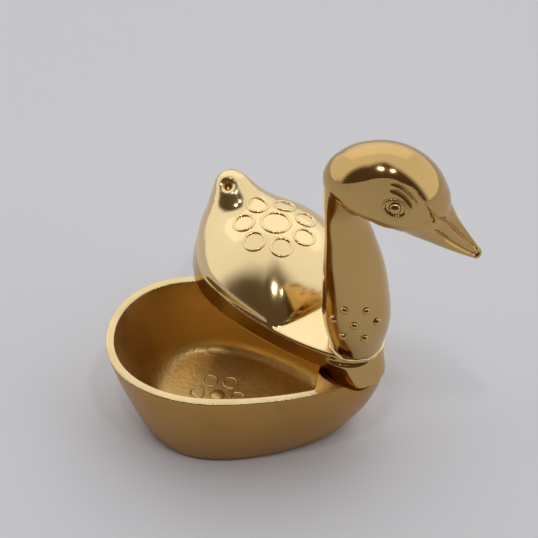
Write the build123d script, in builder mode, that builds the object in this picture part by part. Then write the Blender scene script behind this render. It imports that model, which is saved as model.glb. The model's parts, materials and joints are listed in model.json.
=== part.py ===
"""Swan-shaped kumkum box: an egg-shaped cup, a domed lid that swivels aside, a neck with a head, a pivot."""
import os
from math import atan2, cos, radians, sin

from build123d import *

os.makedirs("parts", exist_ok=True)

# Cup: lengths along X are measured from the pivot
cup_height = 19.5
wall = 1.7
floor_thickness = 2.0
base_edge_radius = 1.2
rim_nose = 5.8
rim_belly_back = 29.0
rim_belly_width = 16.7
rim_tail = 49.0
base_nose_back = 1.5
base_belly_back = 27.5
base_belly_width = 15.0
base_tail = 42.5
swell_nose = 2.0
swell_side = 0.5
swell_tail = 0.4
prow_back = 6.5
seat_depth = 3.2
seat_radius = 6.4
seat_rim_radius = 8.4
floor_ring_radius = 1.6
floor_ring_width = 0.5
floor_ring_height = 0.4
floor_ring_count = 6
floor_ring_spread = 4.2

# Pivot
rivet_radius = 1.5
rivet_seat_depth = 6.0
rivet_neck_depth = 6.0
washer_radius = 5.4
washer_thickness = 0.6
lid_gap = 0.12
bore_clearance = 0.05

# Lid: heights are measured from its underside
lid_open_angle = 46.0
lid_plate_thickness = 3.8
lid_edge_inset = 1.2
lid_shoulder_inset = 0.9
lid_wall = 1.6
hub_radius = 6.1
hub_root_radius = 6.6
hub_root_back = 1.9
hub_root_height = 0.8
dome_front = 11.0
dome_ledge = 0.2
dome_height = 8.6
dome_squareness = 1.8
dome_angles = (0, 28, 54, 74, 84)
tail_root_back = 34.8
tail_root_radius = 11.0
tail_waist_height = 9.6
tail_waist_back = 39.4
tail_waist_radius = 6.4
tail_height = 15.4
tail_tip_back = 42.9
tail_tip_radius = 2.4
tail_tip_rounding = 1.9

# How full the outlines are, as shares of the width or the length that each arc spans
nose_fullness = 0.51
belly_lead = 0.32
tail_lead = 0.6
lid_tail_lead = 0.44
dome_foot_front = [(1, 0), (1, 0.53), (0.985, 0.75), (0.87, 0.795), (0.6, 0.875), (0.33, 1), (0, 1)]
dome_top_front = [(1, 0), (1, 0.3), (0.9, 0.55), (0.71, 0.71), (0.5, 0.88), (0.27, 1), (0, 1)]

# Neck: how far up it each section lies, its lean and its radius, as shares of the height and the radius
neck_height = 41.7
neck_radius = 6.4
neck_sections = [
    (0, 0, 0.81),
    (0.165, -0.03, 1),
    (0.33, -0.09, 0.97),
    (0.495, -0.19, 0.875),
    (0.66, -0.35, 0.705),
    (0.81, -0.52, 0.58),
    (0.96, -0.36, 0.77),
]

# Head and beak: how far along each section lies, its drop and its radius, as shares of the sizes named here
head_back = 7.2
head_length = 27.5
head_drop = 15.0
head_radius = 7.3
head_sections = [
    (0.008, 0.09, 0.25),
    (0.05, 0.07, 0.48),
    (0.135, 0.04, 0.725),
    (0.27, 0.015, 0.925),
    (0.405, 0.04, 1),
    (0.52, 0.155, 0.975),
    (0.6, 0.3, 0.845),
    (0.668, 0.465, 0.66),
    (0.755, 0.64, 0.49),
    (0.877, 0.83, 0.32),
    (1, 1, 0.15),
]

pivot_x = (base_nose_back + base_tail) / 2
seat_height = cup_height - seat_depth
lid_bottom = cup_height + lid_gap
lid_eye_top = lid_bottom + lid_plate_thickness
washer_bottom = lid_eye_top + lid_gap
neck_bottom = washer_bottom + washer_thickness
head_middle = neck_bottom + neck_height
lid_top_inset = lid_edge_inset + lid_shoulder_inset
dome_width = rim_belly_width - lid_top_inset - dome_ledge
dome_tail = rim_tail - lid_top_inset - dome_ledge
lid_plane = Plane(
    origin=(pivot_x, 0, lid_bottom),
    x_dir=(cos(radians(lid_open_angle)), -sin(radians(lid_open_angle)), 0),
    z_dir=(0, 0, 1),
)


def egg(plane, nose, belly, width, tail, lead=tail_lead):
    """A face with an egg outline: blunt at the nose, widest at the belly and rounded at the tail."""
    chest = belly + belly_lead * (nose - belly)
    back = belly - tail
    with BuildSketch(plane) as sketch:
        with BuildLine():
            Bezier((nose, 0), (nose, nose_fullness * width), (chest, width), (belly, width))
            Bezier((belly, width), (belly - lead * back, width), (tail, lead * width), (tail, 0))
            mirror(about=Plane.XZ)
        make_face()
    return sketch.sketch


def rim_egg(plane, centre, inset, lead=tail_lead):
    """The rim's outline about the pivot's place on the plane, drawn in by an inset."""
    return egg(
        plane,
        centre + rim_nose - inset,
        centre - rim_belly_back,
        rim_belly_width - inset,
        centre - rim_tail + inset,
        lead,
    )


def dome_eggs(inset, foot):
    """The dome's level sections, drawn in by an inset: cornered in front at its foot and round at its top."""
    sections = []
    for angle in dome_angles:
        spread = cos(radians(angle)) ** (2 / dome_squareness)
        rise = sin(radians(angle)) ** (2 / dome_squareness)
        front = (rim_belly_back - dome_front - inset) * spread
        width = (dome_width - inset) * spread
        back = (dome_tail - rim_belly_back - inset) * spread
        points = []
        for (low_along, low_side), (high_along, high_side) in zip(dome_foot_front, dome_top_front):
            along = low_along + (high_along - low_along) * rise
            side = low_side + (high_side - low_side) * rise
            points.append((along * front - rim_belly_back, side * width))
        end = -rim_belly_back - back
        shoulder = -rim_belly_back - lid_tail_lead * back
        level = foot + (lid_plate_thickness + dome_height - inset - foot) * rise
        with BuildSketch(lid_plane.offset(level)) as sketch:
            with BuildLine():
                Bezier(*points[:4])
                Bezier(*points[3:])
                Bezier(points[-1], (shoulder, width), (end, lid_tail_lead * width), (end, 0))
                mirror(about=Plane.XZ)
            make_face()
        sections.append(sketch.sketch)
    return sections


# Hollow of the cup: it follows the walls and stops at the solid prow that carries the pivot
with BuildPart() as hollow:
    hollow_floor = egg(
        Plane.XY.offset(floor_thickness),
        pivot_x - base_nose_back - wall,
        pivot_x - base_belly_back,
        base_belly_width - wall,
        pivot_x - base_tail + wall,
    )
    hollow_top = rim_egg(Plane.XY.offset(cup_height), pivot_x, wall)
    loft(sections=[hollow_floor, hollow_top])
    with BuildSketch(Plane.XY):
        with Locations((pivot_x - prow_back, 0)):
            Rectangle(prow_back + rim_nose, 2 * rim_belly_width, align=(Align.MIN, Align.CENTER))
    extrude(amount=cup_height, mode=Mode.SUBTRACT)

# Cup: swelling egg-shaped walls, the hollow, and a prow with a conical seat for the lid's hub and the rivet
with BuildPart() as cup:
    base_outline = egg(
        Plane.XY,
        pivot_x - base_nose_back,
        pivot_x - base_belly_back,
        base_belly_width,
        pivot_x - base_tail,
    )
    middle_outline = egg(
        Plane.XY.offset(cup_height / 2),
        pivot_x + (rim_nose - base_nose_back) / 2 + swell_nose,
        pivot_x - (rim_belly_back + base_belly_back) / 2,
        (rim_belly_width + base_belly_width) / 2 + swell_side,
        pivot_x - (rim_tail + base_tail) / 2 - swell_tail,
    )
    rim_outline = rim_egg(Plane.XY.offset(cup_height), pivot_x, 0)
    loft(sections=[base_outline, middle_outline, rim_outline])
    fillet(cup.faces().sort_by(Axis.Z)[0].edges(), base_edge_radius)
    add(hollow.part, mode=Mode.SUBTRACT)
    with Locations((pivot_x, 0, seat_height + seat_depth / 2)):
        Cone(seat_radius, seat_rim_radius, seat_depth, mode=Mode.SUBTRACT)
    with BuildSketch(Plane.XY.offset(floor_thickness)):
        with Locations((pivot_x - base_belly_back, 0)):
            with PolarLocations(floor_ring_spread, floor_ring_count):
                Circle(floor_ring_radius)
                Circle(floor_ring_radius - floor_ring_width, mode=Mode.SUBTRACT)
            Circle(floor_ring_radius)
    extrude(amount=floor_ring_height)
    with BuildSketch(Plane.XY.offset(seat_height)):
        with Locations((pivot_x, 0)):
            Circle(rivet_radius)
    extrude(amount=-rivet_seat_depth, mode=Mode.SUBTRACT)
cup.part.label = "cup"
export_step(cup.part, "parts/cup.step")

# Lid: a plate near the cup's outline, a hollow dome with a raised tail, and a hub that turns on the prow
with BuildPart() as lid:
    loft(
        sections=[
            rim_egg(lid_plane, 0, lid_edge_inset, lid_tail_lead),
            rim_egg(lid_plane.offset(lid_plate_thickness), 0, lid_top_inset, lid_tail_lead),
        ]
    )
    loft(sections=dome_eggs(0, lid_plate_thickness))
    for height, back, radius in [
        (lid_plate_thickness, tail_root_back, tail_root_radius),
        (tail_waist_height, tail_waist_back, tail_waist_radius),
        (tail_height, tail_tip_back, tail_tip_radius),
    ]:
        with BuildSketch(lid_plane.offset(height)):
            with Locations((-back, 0)):
                Circle(radius)
    loft()
    fillet(lid.faces().sort_by(Axis.Z)[-1].edges(), tail_tip_rounding)
    loft(sections=dome_eggs(lid_wall, 0), mode=Mode.SUBTRACT)
    with BuildSketch(lid_plane.offset(-seat_depth)):
        Circle(hub_radius)
    with BuildSketch(lid_plane.offset(hub_root_height)):
        with Locations((-hub_root_back, 0)):
            Circle(hub_root_radius)
    loft()
    with BuildSketch(lid_plane.offset(-seat_depth)):
        Circle(rivet_radius + bore_clearance)
    extrude(amount=seat_depth + lid_plate_thickness, mode=Mode.SUBTRACT)
lid.part.label = "lid"
export_step(lid.part, "parts/lid.step")

# Neck and head: a swelling neck, a round head and a beak that points forward and down
with BuildPart() as neck_and_head:
    for rise, lean, width in neck_sections:
        with BuildSketch(Plane.XY.offset(neck_bottom + rise * neck_height)):
            with Locations((pivot_x + lean * neck_radius, 0)):
                Circle(width * neck_radius)
    loft()
    for number, (along, drop, width) in enumerate(head_sections):
        before = head_sections[max(number - 1, 0)]
        after = head_sections[min(number + 1, len(head_sections) - 1)]
        slope = atan2((before[1] - after[1]) * head_drop, (after[0] - before[0]) * head_length)
        section = Plane(
            origin=(pivot_x - head_back + along * head_length, 0, head_middle - drop * head_drop),
            x_dir=(0, 1, 0),
            z_dir=(cos(slope), 0, sin(slope)),
        )
        with BuildSketch(section):
            Circle(width * head_radius)
    loft()
    with BuildSketch(Plane.XY.offset(neck_bottom)):
        with Locations((pivot_x, 0)):
            Circle(rivet_radius)
    extrude(amount=rivet_neck_depth, mode=Mode.SUBTRACT)
neck_and_head.part.label = "neck_and_head"
export_step(neck_and_head.part, "parts/neck_and_head.step")

# Rivet: a plain pin that is fast in the prow and in the neck, and runs in the lid's bore
with BuildPart() as pivot_rivet:
    with BuildSketch(Plane.XY.offset(seat_height - rivet_seat_depth)):
        with Locations((pivot_x, 0)):
            Circle(rivet_radius)
    extrude(amount=rivet_seat_depth + neck_bottom - seat_height + rivet_neck_depth)
pivot_rivet.part.label = "pivot_rivet"
export_step(pivot_rivet.part, "parts/pivot_rivet.step")

# Washer: a thin ring under the neck that the lid's top face slides on
with BuildPart() as pivot_washer:
    with BuildSketch(Plane.XY.offset(washer_bottom)):
        with Locations((pivot_x, 0)):
            Circle(washer_radius)
            Circle(rivet_radius, mode=Mode.SUBTRACT)
    extrude(amount=washer_thickness)
pivot_washer.part.label = "pivot_washer"
export_step(pivot_washer.part, "parts/pivot_washer.step")
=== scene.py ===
import json
import math

import bpy
import numpy as np
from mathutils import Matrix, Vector
from mathutils.bvhtree import BVHTree


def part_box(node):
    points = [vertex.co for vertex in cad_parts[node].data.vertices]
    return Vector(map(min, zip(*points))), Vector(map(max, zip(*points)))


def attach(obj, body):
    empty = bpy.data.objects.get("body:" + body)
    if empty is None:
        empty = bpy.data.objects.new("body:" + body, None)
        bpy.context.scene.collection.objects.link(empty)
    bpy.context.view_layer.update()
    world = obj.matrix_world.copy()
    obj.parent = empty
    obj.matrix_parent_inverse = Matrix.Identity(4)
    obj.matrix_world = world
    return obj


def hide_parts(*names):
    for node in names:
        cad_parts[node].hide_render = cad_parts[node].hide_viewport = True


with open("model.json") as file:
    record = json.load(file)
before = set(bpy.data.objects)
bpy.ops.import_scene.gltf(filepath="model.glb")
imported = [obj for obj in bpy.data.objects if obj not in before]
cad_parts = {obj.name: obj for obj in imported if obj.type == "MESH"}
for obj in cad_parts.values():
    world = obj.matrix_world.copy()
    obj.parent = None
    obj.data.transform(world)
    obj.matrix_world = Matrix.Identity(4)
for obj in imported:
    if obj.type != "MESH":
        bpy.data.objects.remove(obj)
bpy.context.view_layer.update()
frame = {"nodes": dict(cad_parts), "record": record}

MM = 0.001

# Cup. Lengths are in millimetres and angles in degrees here and below. An outline is given by its nose,
# belly, half width and tail, with lengths along X from the pivot
wall = 1.7
floor_thickness = 2.0
base_edge_radius = 1.2
rim_edge_radius = 0.3
floor_edge_radius = 2.4
rim_shape = (5.8, -29.0, 16.7, -49.0)
base_shape = (-1.5, -27.5, 15.0, -42.5)
wall_swell = (2.0, 0.0, 0.5, -0.4)
prow_back = 6.5
seat_depth = 3.2
seat_radius = 6.4
seat_rim_radius = 8.4
floor_ring_radius = 1.4
floor_ring_wire = 0.24
floor_ring_count = 6
floor_ring_spread = 4.2
floor_boss_radius = 1.6
floor_boss_height = 0.5
weld_reach = 0.01
seat_overrun = 2.0
base_mesh_insets = (8.0, 4.0)
floor_mesh_insets = (5.0, 8.0)
sharp_angle = 40.0

# Lid, with heights measured from its underside
lid_open_angle = 46.0
lid_plate_thickness = 3.8
lid_edge_inset = 1.2
lid_shoulder_inset = 0.9
lid_wall = 1.6
hub_radius = 6.1
hub_root_radius = 6.6
hub_root_back = 1.9
hub_root_height = 0.8
hub_overlap = 1.3
dome_front = 11.0
dome_ledge = 0.2
dome_height = 8.6
dome_squareness = 1.8
dome_last_angle = 88.0
tail_levels = (3.8, 9.6, 15.4)
tail_backs = (34.8, 39.4, 42.9)
tail_radii = (11.0, 6.4, 2.4)
tail_tip_rounding = 1.9
tail_blend = 2.2
tail_root_back = 2.0
tail_root_rise = 1.0
tail_foot_fade = 2.5
tail_search = 26.0
dimple_place = (-40.9, -1.9, 14.8)
dimple_radius = 1.3
dimple_depth = 1.6
dimple_sharpness = 1.6
band_margin = 0.15
hollow_probe = 0.2
hollow_reach = 60.0
lid_voxel = 0.24
lid_smoothing = 7

# Flower of rings on the lid
flower_back = 28.5
flower_spread = 6.4
flower_count = 7
flower_centre_radius = 2.9
flower_ring_radius = 2.1
flower_wire = 0.32
flower_side = 1.4
flower_drop_height = 40.0

# How full the outlines are
nose_fullness = 0.51
belly_lead = 0.32
tail_lead = 0.6
lid_tail_lead = 0.44
dome_foot_front = [
    (1, 0), (1, 0.53), (0.985, 0.75), (0.87, 0.795), (0.6, 0.875), (0.33, 1), (0, 1),
]
dome_top_front = [
    (1, 0), (1, 0.3), (0.9, 0.55), (0.71, 0.71), (0.5, 0.88), (0.27, 1), (0, 1),
]

# Neck: how far up it each section lies, its lean and its radius, as shares of the sizes named here
neck_height = 41.7
neck_radius = 6.4
neck_sections = [
    (0, 0, 0.81),
    (0.165, -0.03, 1),
    (0.33, -0.09, 0.97),
    (0.495, -0.19, 0.875),
    (0.66, -0.35, 0.705),
    (0.81, -0.52, 0.58),
    (0.96, -0.36, 0.77),
]
nape_rise = 2.6
neck_voxel = 0.2
neck_smoothing = 10

# Head and beak: how far along each section lies, its drop and its radius, as shares likewise
head_back = 7.2
head_length = 27.5
head_drop = 15.0
head_radius = 7.3
head_sections = [
    (0.008, 0.09, 0.25),
    (0.05, 0.07, 0.48),
    (0.135, 0.04, 0.725),
    (0.27, 0.015, 0.925),
    (0.405, 0.04, 1),
    (0.52, 0.155, 0.975),
    (0.6, 0.3, 0.845),
    (0.668, 0.465, 0.66),
    (0.755, 0.64, 0.49),
    (0.877, 0.83, 0.32),
    (1, 1, 0.15),
]
beak_start = 0.66
beak_ridge = 0.1
beak_ridge_run = 4.0

# Lines on the head's sides, forward of the pivot and by height above the table. A fade is the pair of
# values between which an effect rises or falls: shares of a line's length, or else millimetres
brow_line = [
    (-4.4, 67.8), (-2.0, 68.9), (2.1, 70.6), (4.4, 70.8), (8.4, 69.2), (11.4, 65.2), (13.2, 60.8),
]
brow_widths = [4.0, 4.4, 4.8, 4.9, 4.9, 4.4, 3.4]
brow_step = 0.35
brow_edge = 0.4
cheek_lean = 16.0
cheek_back_fade = (-4.0, -1.0)
cheek_front_fade = (0.9, 1.0)
cheek_drop_fade = (7.0, 11.0)
flank_fade = (0.1, 0.7)
cheek_softness = 0.3
eyelid_lines = [
    [(4.2, 70.0), (6.4, 69.2), (8.4, 67.4), (9.9, 64.4)],
    [(4.2, 68.8), (6.2, 68.0), (7.8, 66.6), (8.9, 64.4)],
]
eyelid_depth = 0.3
eyelid_width = 0.3
eyelid_start_fade = (0.0, 0.2)
eyelid_end_fade = (0.55, 0.95)
bill_lines = [
    [(12.2, 60.1), (14.4, 57.2), (17.4, 54.1), (20.2, 51.5)],
    [(11.0, 65.9), (12.3, 63.6), (13.6, 61.4), (15.4, 58.8), (18.0, 55.2), (20.1, 52.6)],
]
bill_depth = 0.45
bill_width = 0.35
bill_start_fade = (0.0, 0.15)
bill_crease_span = (0.05, 0.97)
crease_width = 0.27
crease_share = 0.3
tip_rounding = 0.9
ridge_line = [(12.6, 60.4), (14.9, 57.9), (17.3, 55.2), (19.8, 52.4)]
ridge_height = 0.35
ridge_width = 0.5
ridge_start_fade = (0.0, 0.3)
eye_place = (5.6, 65.2)
eye_size = (2.0, 1.45)
eye_slant = -24.0
eye_wire = 0.36
eye_ball = (1.1, 0.8)
dot_place = (0.0, 35.0)
dot_spread = 4.0
dot_count = 6
dot_size = (0.85, 0.65)
side_reach = 30.0

# Washer: outline of its edge as shares of its radius and thickness, and waves of its hammered edge
washer_profile = [
    (0.35, 0.0), (0.9, 0.0), (0.98, 0.15), (1.0, 0.5), (0.98, 0.85), (0.9, 1.0), (0.35, 1.0),
]
washer_waves = [(0.16, 3, 0.6), (0.1, 7, 2.0), (0.05, 16, 0.0)]
washer_growth = 0.1
washer_edge_share = 0.5

# How finely the meshes are drawn
outline_steps = 48
wall_rows = 13
base_edge_rows = 7
rim_edge_rows = 5
floor_edge_rows = 8
seat_points = 128
hub_points = 96
hub_rows = 8
dome_rows = 46
band_rows = 6
tail_search_steps = 520
tube_points = 72
neck_rings = 70
head_rings = 110
nape_rows = 15
tip_rows = 9
tip_points = 36
washer_points = 120
line_points = 90
smoothing_factor = 0.5

# Rays that find a surface: their start above it and their reach; then two guards against bad directions
ray_lift = 4.0
ray_reach = 8.0
upright_limit = 0.2
tiny = 1e-12

# Brass finishes: how far colour and gloss drift, and the scales and details of the noises behind them.
# Heights of bumps are in metres
worn_share = 0.88
tone_stops = (0.3, 0.7)
tone_detail = 4
gloss_stops = (0.3, 0.75)
gloss_scale = 2.3
gloss_detail = 6
uneven_scale = 0.8
uneven_detail = 2
uneven_height = 0.002
grain_scale = 14
grain_detail = 8
grain_height = 0.0004

# Cloth of the floor, and where the room turns from dark to pale
cloth_roughness = 0.9
room_stops = (0.02, 0.22)

# Places of the finishes in each piece's list of materials
CUP_SATIN, CUP_RIM, CUP_CAST = range(3)
# On the lid, the band-and-hub slot holds a darker copy of the polished brass as painted shade, and the
# pit slot holds the darker satin brass as painted shade in the dimple.
LID_POLISHED, LID_CAST, LID_SHADED, LID_PIT_SHADE = range(4)
# The neck's main slot holds the same darker copy as painted shade, and its crease slot holds the satin
# brass as painted shade in the creases.
NECK_SHADED, NECK_CREASE_SHADE = range(2)

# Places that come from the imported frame, in millimetres
pivot = Vector(frame["record"]["behaviour"]["joints"][0]["pos_m"]) / MM
cup_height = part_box("cup")[1].z / MM
lid_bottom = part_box("lid")[0].z / MM + seat_depth
neck_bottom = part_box("neck_and_head")[0].z / MM
washer_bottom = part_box("pivot_washer")[0].z / MM
washer_radius = (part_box("pivot_washer")[1].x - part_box("pivot_washer")[0].x) / MM / 2
head_middle = neck_bottom + neck_height
lid_top_inset = lid_edge_inset + lid_shoulder_inset

even_steps = np.arange(outline_steps) / outline_steps
half_steps = np.arange(outline_steps // 2) / (outline_steps // 2)


def bezier(points, steps):
    """Points along a cubic curve at the given steps."""
    a, b, c, d = (np.array(p, float) for p in points)
    t = np.asarray(steps)[:, None]
    first_half = a * (1 - t) ** 3 + 3 * b * t * (1 - t) ** 2
    return first_half + 3 * c * t ** 2 * (1 - t) + d * t ** 3


def both_sides(half):
    """A half outline and its mirror image as one closed outline."""
    return np.vstack([half, half[1:-1][::-1] * (1, -1)])


def egg(shape, inset=0.0, lead=tail_lead):
    """A closed egg outline, drawn in by an inset: nose, belly, tail and back."""
    nose, belly, width, tail = shape
    nose, width, tail = nose - inset, width - inset, tail + inset
    chest = belly + belly_lead * (nose - belly)
    back = belly - tail
    first = [(nose, 0), (nose, nose_fullness * width), (chest, width), (belly, width)]
    second = [(belly, width), (belly - lead * back, width), (tail, lead * width), (tail, 0)]
    curves = [bezier(first, even_steps), bezier(second, even_steps)]
    return both_sides(np.vstack(curves + [[(tail, 0)]]))


def mixed(low, high, share):
    """Values between two lists of values."""
    return [a + (b - a) * share for a, b in zip(low, high)]


def level(outline, height):
    """An outline lifted to a height."""
    return np.c_[outline, np.full(len(outline), height)]


def arc(count):
    """Angles over a quarter turn."""
    return np.linspace(0, math.pi / 2, count)


def full_turn(count):
    """Angles evenly spaced round a full turn."""
    return np.linspace(0, 2 * math.pi, count, endpoint=False)


def circle(count):
    """Points round a circle of radius 1."""
    angles = full_turn(count)
    return np.c_[np.cos(angles), np.sin(angles)]


def new_mesh(name, points, faces, slots=None):
    """A smooth mesh object from points in millimetres."""
    mesh = bpy.data.meshes.new(name)
    mesh.from_pydata([tuple(p) for p in np.asarray(points) * MM], [], faces)
    mesh.update()
    mesh.polygons.foreach_set("use_smooth", [True] * len(mesh.polygons))
    if slots is not None:
        mesh.polygons.foreach_set("material_index", slots)
    piece = bpy.data.objects.new(name, mesh)
    bpy.context.scene.collection.objects.link(piece)
    return piece


def skin(rings, start=None, end=None):
    """Points and faces of a tube of rings, closed at each end by a middle point where one is given."""
    size = len(rings[0])
    points = [p for ring in rings for p in ring]
    faces = []
    for row in range(len(rings) - 1):
        for i in range(size):
            j = (i + 1) % size
            low, high = row * size, (row + 1) * size
            faces.append((low + i, low + j, high + j, high + i))
    if start is not None:
        points.append(start)
        faces += [((i + 1) % size, i, len(points) - 1) for i in range(size)]
    if end is not None:
        points.append(end)
        last = (len(rings) - 1) * size
        faces += [(last + i, last + (i + 1) % size, len(points) - 1) for i in range(size)]
    return points, faces


def joined(shells):
    """Points and faces of several shells as one list of each."""
    points, faces = [], []
    for shell_points, shell_faces in shells:
        shift = len(points)
        points += [tuple(p) for p in shell_points]
        faces += [tuple(i + shift for i in face) for face in shell_faces]
    return points, faces


def settled(piece):
    """Points, normals, faces and slots of a piece with its modifiers applied; the piece itself goes."""
    graph = bpy.context.evaluated_depsgraph_get()
    mesh = bpy.data.meshes.new_from_object(piece.evaluated_get(graph))
    points = np.empty(len(mesh.vertices) * 3)
    mesh.vertices.foreach_get("co", points)
    normals = np.empty(len(mesh.vertices) * 3)
    mesh.vertices.foreach_get("normal", normals)
    faces = [tuple(p.vertices) for p in mesh.polygons]
    slots = [p.material_index for p in mesh.polygons]
    old = piece.data
    bpy.data.objects.remove(piece)
    bpy.data.meshes.remove(old)
    bpy.data.meshes.remove(mesh)
    return points.reshape(-1, 3) / MM, normals.reshape(-1, 3), faces, slots


def remeshed(shells, voxel, rounds):
    """Shells merged into one skin of even small faces and smoothed."""
    piece = new_mesh("merge", *joined(shells))
    remesh = piece.modifiers.new("merge", "REMESH")
    remesh.mode = "VOXEL"
    remesh.voxel_size = voxel * MM
    soften = piece.modifiers.new("soften", "SMOOTH")
    soften.factor = smoothing_factor
    soften.iterations = rounds
    return settled(piece)[:3]


def cut_away(piece, points, faces):
    """A piece with a closed shell cut out of it."""
    cutter = new_mesh("cutter", points, faces)
    cut = piece.modifiers.new("cut", "BOOLEAN")
    cut.operation = "DIFFERENCE"
    cut.solver = "EXACT"
    cut.object = cutter
    weld = piece.modifiers.new("weld", "WELD")
    weld.merge_threshold = weld_reach * MM
    result = settled(piece)
    old = cutter.data
    bpy.data.objects.remove(cutter)
    bpy.data.meshes.remove(old)
    return result


def surface_tree(points, faces):
    """A search tree over a skin."""
    return BVHTree.FromPolygons([tuple(p) for p in points], faces)


def across(normal):
    """Two directions square to a normal, the first as level as it can be."""
    normal = np.array(normal, float)
    side = np.cross((0.0, 0.0, 1.0), normal)
    if np.linalg.norm(side) < upright_limit:
        side = np.cross((0.0, 1.0, 0.0), normal)
    side = side / np.linalg.norm(side)
    return side, np.cross(normal, side)


def bead_ring(tree, centre, normal, size, slant, wire, count=40, around=8):
    """A round bead that follows an oval laid on a surface."""
    centre, normal = np.array(centre, float), np.array(normal, float)
    side, up = across(normal)
    turn = math.radians(slant)
    long_way = math.cos(turn) * side + math.sin(turn) * up
    short_way = math.cos(turn) * up - math.sin(turn) * side
    path, normals = [], []
    for angle in full_turn(count):
        above = centre + size[0] * math.cos(angle) * long_way
        above = above + size[1] * math.sin(angle) * short_way + ray_lift * normal
        hit, hit_normal, _, _ = tree.ray_cast(Vector(above), Vector(-normal), ray_reach)
        path.append(np.array(hit))
        normals.append(np.array(hit_normal))
    rings = []
    for i in range(count):
        along = path[(i + 1) % count] - path[i - 1]
        along = along / np.linalg.norm(along)
        out = normals[i] - along * (normals[i] @ along)
        out = out / np.linalg.norm(out)
        flank = np.cross(along, out)
        rings.append([path[i] + wire * (math.cos(a) * flank + math.sin(a) * out)
                      for a in full_turn(around)])
    points, faces = skin(rings)
    last = (count - 1) * around
    for i in range(around):
        j = (i + 1) % around
        faces.append((last + i, last + j, j, i))
    return points, faces


def boss(centre, normal, radius, height, rows=7, around=20):
    """A low round boss with its middle on a surface."""
    centre, normal = np.array(centre, float), np.array(normal, float)
    side, up = across(normal)
    rings = []
    for lift in np.linspace(-math.pi / 2, math.pi / 2, rows + 2)[1:-1]:
        middle = centre + normal * height * math.sin(lift)
        reach = radius * math.cos(lift)
        rings.append([middle + reach * (math.cos(a) * side + math.sin(a) * up)
                      for a in full_turn(around)])
    return skin(rings, centre - normal * height, centre + normal * height)


def seat_shell():
    """The conical seat of the lid's hub, carried on above the rim."""
    unit = circle(seat_points)
    slope = (seat_rim_radius - seat_radius) / seat_depth
    rings = [level(unit * seat_radius, cup_height - seat_depth)]
    top_radius = seat_rim_radius + slope * seat_overrun
    rings.append(level(unit * top_radius, cup_height + seat_overrun))
    return skin(rings, rings[0].mean(axis=0), rings[-1].mean(axis=0))


def build_cup():
    """The cup with the hub's seat cut into its prow, and the flower of rings on its floor."""
    inward = (-wall, 0.0, -wall, wall)
    hollow_top = [a + b for a, b in zip(rim_shape, inward)]
    hollow_floor = [a + b for a, b in zip(base_shape, inward)]

    def outer(height, inset=0.0):
        """One level section of the cup's outside."""
        share = height / cup_height
        swell = 4 * share * (1 - share)
        shape = [a + b * swell for a, b in zip(mixed(base_shape, rim_shape, share), wall_swell)]
        return level(egg(shape, inset), height)

    def inner(height, inset=0.0):
        """One level section of the hollow, cut off straight behind the prow."""
        share = (height - floor_thickness) / (cup_height - floor_thickness)
        outline = egg(mixed(hollow_floor, hollow_top, share), inset)
        outline[:, 0] = np.minimum(outline[:, 0], -prow_back - inset)
        return level(outline, height)

    rings = [outer(0, inset) for inset in base_mesh_insets]
    for a in arc(base_edge_rows):
        height = base_edge_radius * (1 - math.cos(a))
        rings.append(outer(height, base_edge_radius * (1 - math.sin(a))))
    for height in np.linspace(base_edge_radius, cup_height - rim_edge_radius, wall_rows)[1:]:
        rings.append(outer(height))
    for a in arc(rim_edge_rows)[1:]:
        height = cup_height - rim_edge_radius * (1 - math.sin(a))
        rings.append(outer(height, rim_edge_radius * (1 - math.cos(a))))
    rim_start = len(rings) - (rim_edge_rows - 1)
    for a in arc(rim_edge_rows):
        height = cup_height - rim_edge_radius * (1 - math.cos(a))
        rings.append(inner(height, -rim_edge_radius * (1 - math.sin(a))))
    rim_end = len(rings) - 2
    wall_foot = floor_thickness + floor_edge_radius
    for height in np.linspace(cup_height - rim_edge_radius, wall_foot, wall_rows)[1:]:
        rings.append(inner(height))
    for a in arc(floor_edge_rows)[1:]:
        height = floor_thickness + floor_edge_radius * (1 - math.sin(a))
        rings.append(inner(height, floor_edge_radius * (1 - math.cos(a))))
    rings += [inner(floor_thickness, inset) for inset in floor_mesh_insets]
    base_middle = (base_shape[1], 0, 0)
    floor_middle = (base_shape[1], 0, floor_thickness)
    points, faces = skin(rings, base_middle, floor_middle)
    size = len(rings[0])
    base_point = len(points) - 2

    def finish(face):
        """The finish of a face: satin outside and on the prow, bright on the rim, cast inside."""
        if len(face) == 4:
            row = min(face) // size
        else:
            row = 0 if face[2] == base_point else len(rings)
        if rim_start <= row <= rim_end:
            return CUP_SATIN if points[face[0]][0] > -prow_back else CUP_RIM
        return CUP_SATIN if row < rim_start else CUP_CAST

    whole = new_mesh("whole_cup", points, faces, [finish(face) for face in faces])
    for material in (satin, rim_bright, matte):
        whole.data.materials.append(material)
    points, _, faces, slots = cut_away(whole, *seat_shell())
    tree = surface_tree(points, faces)
    up = (0, 0, 1)
    shells = [(points, faces), boss(floor_middle, up, floor_boss_radius, floor_boss_height)]
    for k in range(floor_ring_count):
        a = 2 * math.pi * k / floor_ring_count
        offset = floor_ring_spread * np.array((math.cos(a), math.sin(a), 0))
        place = np.array(floor_middle) + offset
        shells.append(bead_ring(tree, place, up, (floor_ring_radius,) * 2, 0, floor_ring_wire))
    points, faces = joined(shells)
    slots += [CUP_CAST] * (len(faces) - len(slots))
    piece = new_mesh("cup_body", np.array(points) + (pivot.x, 0, 0), faces, slots)
    piece.data.set_sharp_from_angle(angle=math.radians(sharp_angle))
    return piece


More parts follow.
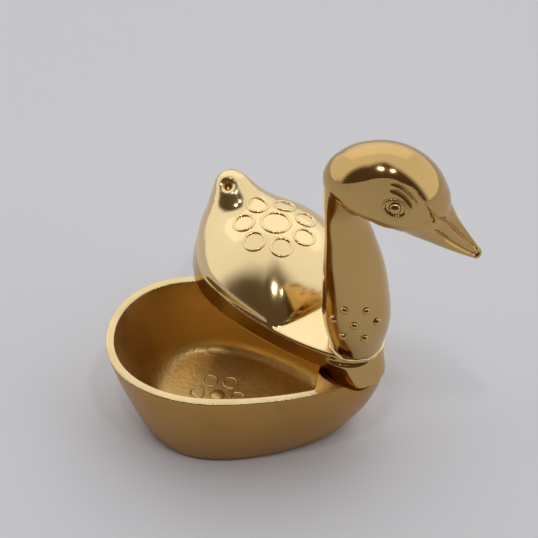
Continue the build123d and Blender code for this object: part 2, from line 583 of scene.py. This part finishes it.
def dome_ring(angle, inset, foot):
    """One level section of the dome, at an angle up its arch.

    It is cornered in front at the foot and round at the top.
    """
    spread = max(math.cos(angle), 0) ** (2 / dome_squareness)
    rise = math.sin(angle) ** (2 / dome_squareness)
    edge = lid_top_inset + dome_ledge + inset
    belly = rim_shape[1]
    front = (-belly - dome_front - inset) * spread
    width = (rim_shape[2] - edge) * spread
    back = (belly - rim_shape[3] - edge) * spread
    shares = [mixed(low, high, rise) for low, high in zip(dome_foot_front, dome_top_front)]
    points = [(along * front + belly, side * width) for along, side in shares]
    end = belly - back
    lead = lid_tail_lead
    tail = [points[-1], (belly - lead * back, width), (end, lead * width), (end, 0)]
    half = [bezier(points[:4], half_steps), bezier(points[3:], half_steps)]
    half += [bezier(tail, even_steps), [(end, 0)]]
    top = lid_plate_thickness + dome_height - inset
    return level(both_sides(np.vstack(half)), foot + (top - foot) * rise)


def tail_reach(centre, directions):
    """How far each ray from the centre runs inside the tail's swept rounds."""
    back_curve = np.polyfit(tail_levels, tail_backs, 2)
    radius_curve = np.polyfit(tail_levels, tail_radii, 2)
    round_start = tail_levels[-1] - tail_tip_rounding
    reach = np.zeros(len(directions))
    for step in np.linspace(0, tail_search, tail_search_steps):
        p = centre + directions * step
        height = p[:, 2]
        over = np.clip(height - round_start, 0, tail_tip_rounding)
        radius = np.polyval(radius_curve, height) - tail_tip_rounding
        radius = radius + np.sqrt(tail_tip_rounding ** 2 - over ** 2)
        off = np.hypot(p[:, 0] + np.polyval(back_curve, height), p[:, 1])
        reach = np.where((off < radius) & (height < tail_levels[-1]), step, reach)
    return reach


def raise_tail(points):
    """Swells the dome's points outwards to the tail, with a soft hollow between the two."""
    root_height = lid_plate_thickness + tail_root_rise
    centre = np.array((-tail_backs[0] - tail_root_back, 0, root_height))
    offset = points - centre
    distance = np.linalg.norm(offset, axis=1)
    directions = offset / distance[:, None]
    reach = tail_reach(centre, directions)
    h = np.clip(0.5 + 0.5 * (reach - distance) / tail_blend, 0, 1)
    grown = distance + (reach - distance) * h + tail_blend * h * (1 - h)
    grown = np.maximum(grown, distance)
    foot = np.clip((points[:, 2] - lid_plate_thickness) / tail_foot_fade, 0, 1)
    return centre + directions * (distance + (grown - distance) * foot)[:, None]


def turned(points):
    """Points in the lid's own frame, turned to its open place on the pivot."""
    a = -math.radians(lid_open_angle)
    turn = np.array([
        [math.cos(a), -math.sin(a), 0],
        [math.sin(a), math.cos(a), 0],
        [0, 0, 1],
    ])
    return np.asarray(points) @ turn.T + (pivot.x, 0, lid_bottom)


def lid_shell():
    """The lid's hollow underside, plate, shoulder and dome with its tail, as one closed skin."""
    angles = np.linspace(0, math.radians(dome_last_angle), dome_rows)
    rings = [dome_ring(a, lid_wall, 0) for a in angles[::-1][:-1:2]]
    rings.append(dome_ring(0, lid_wall, 0))
    for share in np.linspace(0, 1, band_rows):
        inset = lid_edge_inset + lid_shoulder_inset * share
        outline = egg(rim_shape, inset, lid_tail_lead)
        rings.append(level(outline, lid_plate_thickness * share))
    dome = [dome_ring(a, 0, lid_plate_thickness) for a in angles]
    swelled = raise_tail(np.vstack(dome))
    size = len(rings[0])
    rings += [swelled[k * size:(k + 1) * size] for k in range(len(angles))]
    hollow_top = (rim_shape[1], 0, lid_plate_thickness + dome_height - lid_wall)
    dome_top = rings[-1].mean(axis=0)
    return skin(rings, hollow_top, dome_top)


def hub_shell():
    """The hub under the lid's front end, carried on a little into the plate."""
    unit = circle(hub_points)
    rings = []
    for share in np.linspace(0, hub_overlap, hub_rows):
        radius = hub_radius + (hub_root_radius - hub_radius) * share
        height = -seat_depth + (seat_depth + hub_root_height) * share
        rings.append(level(unit * radius - (hub_root_back * share, 0), height))
    return skin(rings, rings[0].mean(axis=0), rings[-1].mean(axis=0))


def build_lid():
    """The lid with its hub, the dimple on its tail and the flower of rings."""
    shells = [lid_shell(), hub_shell()]
    points, normals, faces = remeshed(shells, lid_voxel, lid_smoothing)
    away = np.linalg.norm((points - dimple_place) / dimple_radius, axis=1)
    sunk = dimple_depth * np.exp(-away ** 2 * dimple_sharpness)
    points = points - normals * sunk[:, None]
    tree = surface_tree(points, faces)

    def finish(face):
        """The finish of a face: satin brass in the pit as painted shade, cast in the hollow, and a
        darker copy of the polished brass on the band and hub as painted shade.
        """
        corners = points[list(face)]
        middle = corners.mean(axis=0)
        # Faces in the dimple take the darker satin brass: painted shade in the pit.
        if np.linalg.norm(middle - dimple_place) < dimple_radius:
            return LID_PIT_SHADE
        square = np.cross(corners[2] - corners[0], corners[-1] - corners[1])
        square = square / (np.linalg.norm(square) + tiny)
        start = Vector(middle + square * hollow_probe)
        if tree.ray_cast(start, Vector(square), hollow_reach)[0] is not None:
            return LID_CAST
        # The band and the hub below the plate's top take the darker copy of the polished brass: painted
        # shade.
        low = corners[:, 2].mean() < lid_plate_thickness - band_margin
        return LID_SHADED if low else LID_POLISHED

    slots = [finish(face) for face in faces]
    shells = [(points, faces)]
    places = [(0.0, flower_side, flower_centre_radius)]
    for k in range(flower_count):
        a = 2 * math.pi * k / flower_count
        side = flower_side + flower_spread * math.sin(a)
        places.append((-flower_spread * math.cos(a), side, flower_ring_radius))
    for along, side, radius in places:
        start = Vector((along - flower_back, side, flower_drop_height))
        hit, normal, _, _ = tree.ray_cast(start, Vector((0, 0, -1)))
        shells.append(bead_ring(tree, hit, normal, (radius, radius), 0, flower_wire))
    points, faces = joined(shells)
    slots += [LID_POLISHED] * (len(faces) - len(slots))
    return new_mesh("lid_body", turned(points), faces, slots)


def smooth_stations(stations, count):
    """Stations joined by a smooth curve through them all."""
    s = np.array(stations, float)
    steps = np.r_[0, np.cumsum(np.linalg.norm(np.diff(s[:, :2], axis=0), axis=1))]
    slopes = np.gradient(s, steps, axis=0)
    out = []
    for x in np.linspace(0, steps[-1], count):
        k = min(np.searchsorted(steps, x, side="right") - 1, len(s) - 2)
        h = steps[k + 1] - steps[k]
        t = (x - steps[k]) / h
        out.append(
            (2 * t ** 3 - 3 * t ** 2 + 1) * s[k]
            + (t ** 3 - 2 * t ** 2 + t) * h * slopes[k]
            + (3 * t ** 2 - 2 * t ** 3) * s[k + 1]
            + (t ** 3 - t ** 2) * h * slopes[k + 1]
        )
    return np.array(out)


def tube(stations, count, square_to_path, ridge_start=None):
    """Rings along stations in the swan's plane of symmetry, four-sided past the ridge's start."""
    path = smooth_stations(stations, count)
    angles = full_turn(tube_points)
    rings = []
    tangents = np.gradient(path[:, :2], axis=0)
    for (forward, height, radius), (dx, dz) in zip(path, tangents):
        tilt = math.atan2(dz, dx) if square_to_path else math.pi / 2
        up = np.array((-math.sin(tilt), 0, math.cos(tilt)))
        side = np.array((0, 1, 0))
        middle = np.array((forward, 0, height))
        ridge = 0.0
        if ridge_start is not None:
            ridge = beak_ridge * min(max((forward - ridge_start) / beak_ridge_run, 0), 1)
        rings.append([
            middle + radius * (1 + ridge * math.cos(4 * a)) * (math.cos(a) * side + math.sin(a) * up)
            for a in angles
        ])
    ends = [np.mean(ring, axis=0) for ring in (rings[0], rings[-1])]
    return skin(rings, ends[0], ends[1])


def line_distance(places, line):
    """Each place's distance from a smooth line, its side of the line and its share along it."""
    path = smooth_stations([(a, b, 0) for a, b in line], line_points)[:, :2]
    near = np.full(len(places), np.inf)
    side = np.zeros(len(places))
    share = np.zeros(len(places))
    for k in range(len(path) - 1):
        step = path[k + 1] - path[k]
        t = np.clip(((places - path[k]) @ step) / (step @ step), 0, 1)
        off = places - (path[k] + t[:, None] * step)
        distance = np.linalg.norm(off, axis=1)
        closer = distance < near
        near = np.where(closer, distance, near)
        side = np.where(closer, np.sign(step[0] * off[:, 1] - step[1] * off[:, 0]), side)
        share = np.where(closer, (k + t) / (len(path) - 1), share)
    return near, side, share


def eased(value, low, high):
    """A smooth rise from 0 to 1 between two values."""
    t = np.clip((value - low) / (high - low), 0, 1)
    return t * t * (3 - 2 * t)


def carve_head(points, normals):
    """Flattens the cheeks, cuts the eyelids and the lines of the beak, and raises its ridges.

    Gives the points back, and which of them lie in a crease.
    """
    places = points[:, [0, 2]]
    flank = eased(np.abs(points[:, 1]), *flank_fade)
    near, side, share = line_distance(places, brow_line)
    under = np.where(side < 0, near, -near)
    forward, heights = zip(*brow_line)
    below = np.interp(points[:, 0], forward, heights) - points[:, 2]
    flat = np.interp(points[:, 0], forward, brow_widths) - brow_step
    over = np.abs(points[:, 1]) - flat - math.tan(math.radians(cheek_lean)) * below
    pushed = 0.5 * (over + np.hypot(over, cheek_softness)) * (below > 0)
    ends = eased(points[:, 0], *cheek_back_fade) * (1 - eased(share, *cheek_front_fade))
    pushed = pushed * eased(under, 0, brow_edge) * (1 - eased(below, *cheek_drop_fade)) * ends
    points = points - np.c_[0 * pushed, np.sign(points[:, 1]) * pushed, 0 * pushed]
    depth = np.zeros(len(points))
    creased = np.zeros(len(points), bool)
    for line in eyelid_lines:
        near, _, share = line_distance(places, line)
        taper = eased(share, *eyelid_start_fade) * (1 - eased(share, *eyelid_end_fade))
        depth = depth + eyelid_depth * np.exp(-(near / eyelid_width) ** 2) * taper
        creased = creased | ((near < crease_width) & (taper > crease_share))
    for line in bill_lines:
        near, _, share = line_distance(places, line)
        groove = bill_depth * np.exp(-(near / bill_width) ** 2)
        depth = depth + groove * eased(share, *bill_start_fade)
        inside = (share > bill_crease_span[0]) & (share < bill_crease_span[1])
        creased = creased | ((near < crease_width) & inside)
    near, _, share = line_distance(places, ridge_line)
    ridge = ridge_height * np.exp(-(near / ridge_width) ** 2)
    depth = depth - ridge * eased(share, *ridge_start_fade)
    return points - normals * (depth * flank)[:, None], creased & (flank > crease_share)


def build_neck():
    """Neck and head as one smooth form, with its carved lines, eyes and the dots on its sides."""
    neck = [(lean * neck_radius, neck_bottom + rise * neck_height, width * neck_radius)
            for rise, lean, width in neck_sections]
    head = [
        (along * head_length - head_back, head_middle - drop * head_drop, width * head_radius)
        for along, drop, width in head_sections
    ]
    ridge_start = beak_start * head_length - head_back
    forward, height, radius = neck[-1]
    nape = boss((forward, 0, height), (0, 0, 1), radius, nape_rise, nape_rows, tube_points)
    tip = np.array((head[-1][0], 0, head[-1][1]))
    towards = tip - (head[-2][0], 0, head[-2][1])
    towards = towards / np.linalg.norm(towards)
    beak_tip = boss(tip, towards, head[-1][2], tip_rounding, tip_rows, tip_points)
    shells = [tube(neck, neck_rings, False), nape]
    shells += [tube(head, head_rings, True, ridge_start), beak_tip]
    points, normals, faces = remeshed(shells, neck_voxel, neck_smoothing)
    points, creased = carve_head(points, normals)
    # Faces in the eyelid and beak creases take the darker satin brass: painted shade in the creases.
    slots = [NECK_CREASE_SHADE if creased[list(face)].all() else NECK_SHADED for face in faces]
    tree = surface_tree(points, faces)
    shells = [(points, faces)]
    for side in (-1, 1):
        inward = Vector((0, -side, 0))
        start = Vector((eye_place[0], side_reach * side, eye_place[1]))
        hit, normal, _, _ = tree.ray_cast(start, inward)
        slant = eye_slant if side < 0 else -eye_slant
        shells.append(bead_ring(tree, hit, normal, eye_size, slant, eye_wire))
        shells.append(boss(hit, normal, *eye_ball))
        spots = [(0.0, 0.0)]
        for k in range(dot_count):
            a = 2 * math.pi * k / dot_count
            spots.append((dot_spread * math.cos(a), dot_spread * math.sin(a)))
        for along, up in spots:
            start = Vector((dot_place[0] + along, side_reach * side, dot_place[1] + up))
            hit, normal, _, _ = tree.ray_cast(start, inward)
            shells.append(boss(hit, normal, *dot_size))
    points, faces = joined(shells)
    slots += [NECK_SHADED] * (len(faces) - len(slots))
    return new_mesh("neck_and_head_body", np.array(points) + (pivot.x, 0, 0), faces, slots)


def build_washer():
    """The thin washer under the neck, with an uneven hammered edge."""
    around = full_turn(washer_points)
    uneven = sum(size * np.sin(count * around + start) for size, count, start in washer_waves)
    thickness = neck_bottom - washer_bottom
    rings = []
    for share, rise in washer_profile:
        grown = uneven + washer_growth if share > washer_edge_share else 0
        radius = washer_radius * share + grown
        outline = np.c_[radius * np.cos(around), radius * np.sin(around)]
        rings.append(level(outline, washer_bottom + thickness * rise))
    points, faces = skin(rings, rings[0].mean(axis=0), rings[-1].mean(axis=0))
    return new_mesh("pivot_washer_body", np.array(points) + (pivot.x, 0, 0), faces)


def brass(name, color, rough, bump, spot_scale, grain=0.0):
    """A brass finish whose colour and roughness drift, with a soft bump and, if given, a cast grain."""
    material = bpy.data.materials.new(name)
    material.use_nodes = True
    nodes, links = material.node_tree.nodes, material.node_tree.links
    shader = nodes["Principled BSDF"]
    shader.inputs["Metallic"].default_value = 1.0
    place = nodes.new("ShaderNodeTexCoord")

    def noise(scale, detail):
        node = nodes.new("ShaderNodeTexNoise")
        node.inputs["Scale"].default_value = scale
        node.inputs["Detail"].default_value = detail
        links.new(place.outputs["Object"], node.inputs["Vector"])
        return node

    def ramp(source, stops):
        node = nodes.new("ShaderNodeValToRGB")
        for element, (position, value) in zip(node.color_ramp.elements, stops):
            element.position = position
            element.color = value
        links.new(source.outputs["Fac"], node.inputs["Fac"])
        return node

    drift = noise(spot_scale, tone_detail)
    tones = [tuple(c * worn_share for c in color) + (1,), tuple(color) + (1,)]
    tone = ramp(drift, zip(tone_stops, tones))
    links.new(tone.outputs["Color"], shader.inputs["Base Color"])
    gloss = noise(spot_scale * gloss_scale, gloss_detail)
    spread = ramp(gloss, zip(gloss_stops, [(value,) * 3 + (1,) for value in rough]))
    links.new(spread.outputs["Color"], shader.inputs["Roughness"])
    uneven = noise(spot_scale * uneven_scale, uneven_detail)
    soft = nodes.new("ShaderNodeBump")
    soft.inputs["Strength"].default_value = bump
    soft.inputs["Distance"].default_value = uneven_height
    links.new(uneven.outputs["Fac"], soft.inputs["Height"])
    last = soft
    if grain:
        fine = noise(spot_scale * grain_scale, grain_detail)
        cast = nodes.new("ShaderNodeBump")
        cast.inputs["Strength"].default_value = grain
        cast.inputs["Distance"].default_value = grain_height
        links.new(fine.outputs["Fac"], cast.inputs["Height"])
        links.new(soft.outputs["Normal"], cast.inputs["Normal"])
        last = cast
    links.new(last.outputs["Normal"], shader.inputs["Normal"])
    return material


def sheet_material(name, color):
    """Plain pale cloth for the floor."""
    material = bpy.data.materials.new(name)
    material.use_nodes = True
    shader = material.node_tree.nodes["Principled BSDF"]
    shader.inputs["Base Color"].default_value = color + (1,)
    shader.inputs["Roughness"].default_value = cloth_roughness
    return material


def area_light(name, place, target, size, power, color):
    """A soft rectangular lamp that faces a target."""
    data = bpy.data.lights.new(name, "AREA")
    data.shape = "RECTANGLE"
    data.size, data.size_y = size
    data.energy = power
    data.color = color
    lamp = bpy.data.objects.new(name, data)
    lamp.location = place
    lamp.rotation_euler = (Vector(target) - Vector(place)).to_track_quat("-Z", "Y").to_euler()
    bpy.context.scene.collection.objects.link(lamp)


def room_world(front, back, side_share):
    """Surroundings that run from a warm dark front side to a pale wall behind the object."""
    world = bpy.data.worlds.new("room")
    bpy.context.scene.world = world
    world.use_nodes = True
    nodes, links = world.node_tree.nodes, world.node_tree.links
    place = nodes.new("ShaderNodeTexCoord")
    split = nodes.new("ShaderNodeSeparateXYZ")
    links.new(place.outputs["Generated"], split.inputs["Vector"])
    ramp = nodes.new("ShaderNodeValToRGB")
    for element, position, color in zip(ramp.color_ramp.elements, room_stops, (front, back)):
        element.position = position
        element.color = color + (1,)
    width = nodes.new("ShaderNodeMath")
    width.operation = "ABSOLUTE"
    links.new(split.outputs["X"], width.inputs[0])
    wedge = nodes.new("ShaderNodeMath")
    wedge.operation = "MULTIPLY_ADD"
    wedge.inputs[1].default_value = side_share
    links.new(width.outputs["Value"], wedge.inputs[0])
    links.new(split.outputs["Y"], wedge.inputs[2])
    links.new(wedge.outputs["Value"], ramp.inputs["Fac"])
    links.new(ramp.outputs["Color"], nodes["Background"].inputs["Color"])


polished = brass(
    "polished_brass", color=(0.88, 0.67, 0.35), rough=(0.10, 0.20), bump=0.08, spot_scale=60,
)
# A darker, more saturated copy of the polished brass: painted shade on the lid's band and hub and over
# the neck and head.
shaded_brass = brass(
    "painted_shade_brass", color=(0.60, 0.39, 0.145), rough=(0.09, 0.16), bump=0.08, spot_scale=60,
)
satin = brass(
    "satin_brass", color=(0.52, 0.285, 0.08), rough=(0.26, 0.38), bump=0.12, spot_scale=80, grain=0.12,
)
rim_bright = brass(
    "rim_brass", color=(0.72, 0.55, 0.29), rough=(0.22, 0.34), bump=0.15, spot_scale=120, grain=0.15,
)
matte = brass(
    "cast_brass", color=(0.78, 0.54, 0.21), rough=(0.34, 0.50), bump=0.12, spot_scale=90, grain=0.25,
)
plain = brass(
    "plain_brass", color=(0.84, 0.64, 0.34), rough=(0.25, 0.4), bump=0.2, spot_scale=100, grain=0.2,
)

cup = build_cup()
for material in (satin, rim_bright, matte):
    cup.data.materials.append(material)
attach(cup, "cup_side")
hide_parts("cup")

lid = build_lid()
# On the lid the satin brass serves as painted shade in the dimple.
for material in (polished, matte, shaded_brass, satin):
    lid.data.materials.append(material)
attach(lid, "lid")
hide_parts("lid")

neck = build_neck()
# The neck wears the darker copy of the polished brass as painted shade, and its creases wear the satin
# brass as painted shade.
for material in (shaded_brass, satin):
    neck.data.materials.append(material)
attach(neck, "cup_side")
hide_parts("neck_and_head")

washer = build_washer()
washer.data.materials.append(plain)
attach(washer, "cup_side")
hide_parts("pivot_washer")

rivet_mesh = frame["nodes"]["pivot_rivet"].data
rivet_mesh.materials.clear()
rivet_mesh.materials.append(plain)

# Floor, light and camera; places and sizes are in metres
floor_reach = 2.0
floor_mesh = bpy.data.meshes.new("floor")
floor_corners = [(x * floor_reach, y * floor_reach, 0)
                 for x, y in ((-1, -1), (1, -1), (1, 1), (-1, 1))]
floor_mesh.from_pydata(floor_corners, [], [(0, 1, 2, 3)])
floor_mesh.materials.append(sheet_material("pale_cloth", color=(0.73, 0.73, 0.76)))
floor = bpy.data.objects.new("floor", floor_mesh)
bpy.context.scene.collection.objects.link(floor)

middle = (0, 0, 0.03)
area_light(
    "window", place=(-0.10, 0.50, 0.42), target=middle,
    size=(0.90, 0.50), power=0.35, color=(0.97, 0.98, 1.0),
)
for lamp_name, lamp_x in (("lamp_left", -0.03), ("lamp_right", 0.16)):
    area_light(
        lamp_name, place=(lamp_x, -0.13, 0.62), target=middle,
        size=(0.05, 0.05), power=0.25, color=(1.0, 0.98, 0.95),
    )
room_world(front=(0.10, 0.07, 0.045), back=(1.0, 1.02, 1.05), side_share=0.5)

camera_target = Vector((pivot.x - 16.4, -2.6, 43.5)) * MM
camera_azimuth = math.radians(9)
camera_elevation = math.radians(46)
camera_distance = 272.7 * MM
camera_lens = 100.4
camera_sensor = 36.0
camera_data = bpy.data.cameras.new("camera")
camera_data.lens = camera_lens
camera_data.sensor_width = camera_sensor
camera = bpy.data.objects.new("camera", camera_data)
back_to_camera = Vector((
    math.sin(camera_azimuth) * math.cos(camera_elevation),
    -math.cos(camera_azimuth) * math.cos(camera_elevation),
    math.sin(camera_elevation),
))
camera.location = camera_target + back_to_camera * camera_distance
camera.rotation_euler = (-back_to_camera).to_track_quat("-Z", "Y").to_euler()
bpy.context.scene.collection.objects.link(camera)
bpy.context.scene.camera = camera
bpy.context.scene.view_settings.view_transform = "Standard"
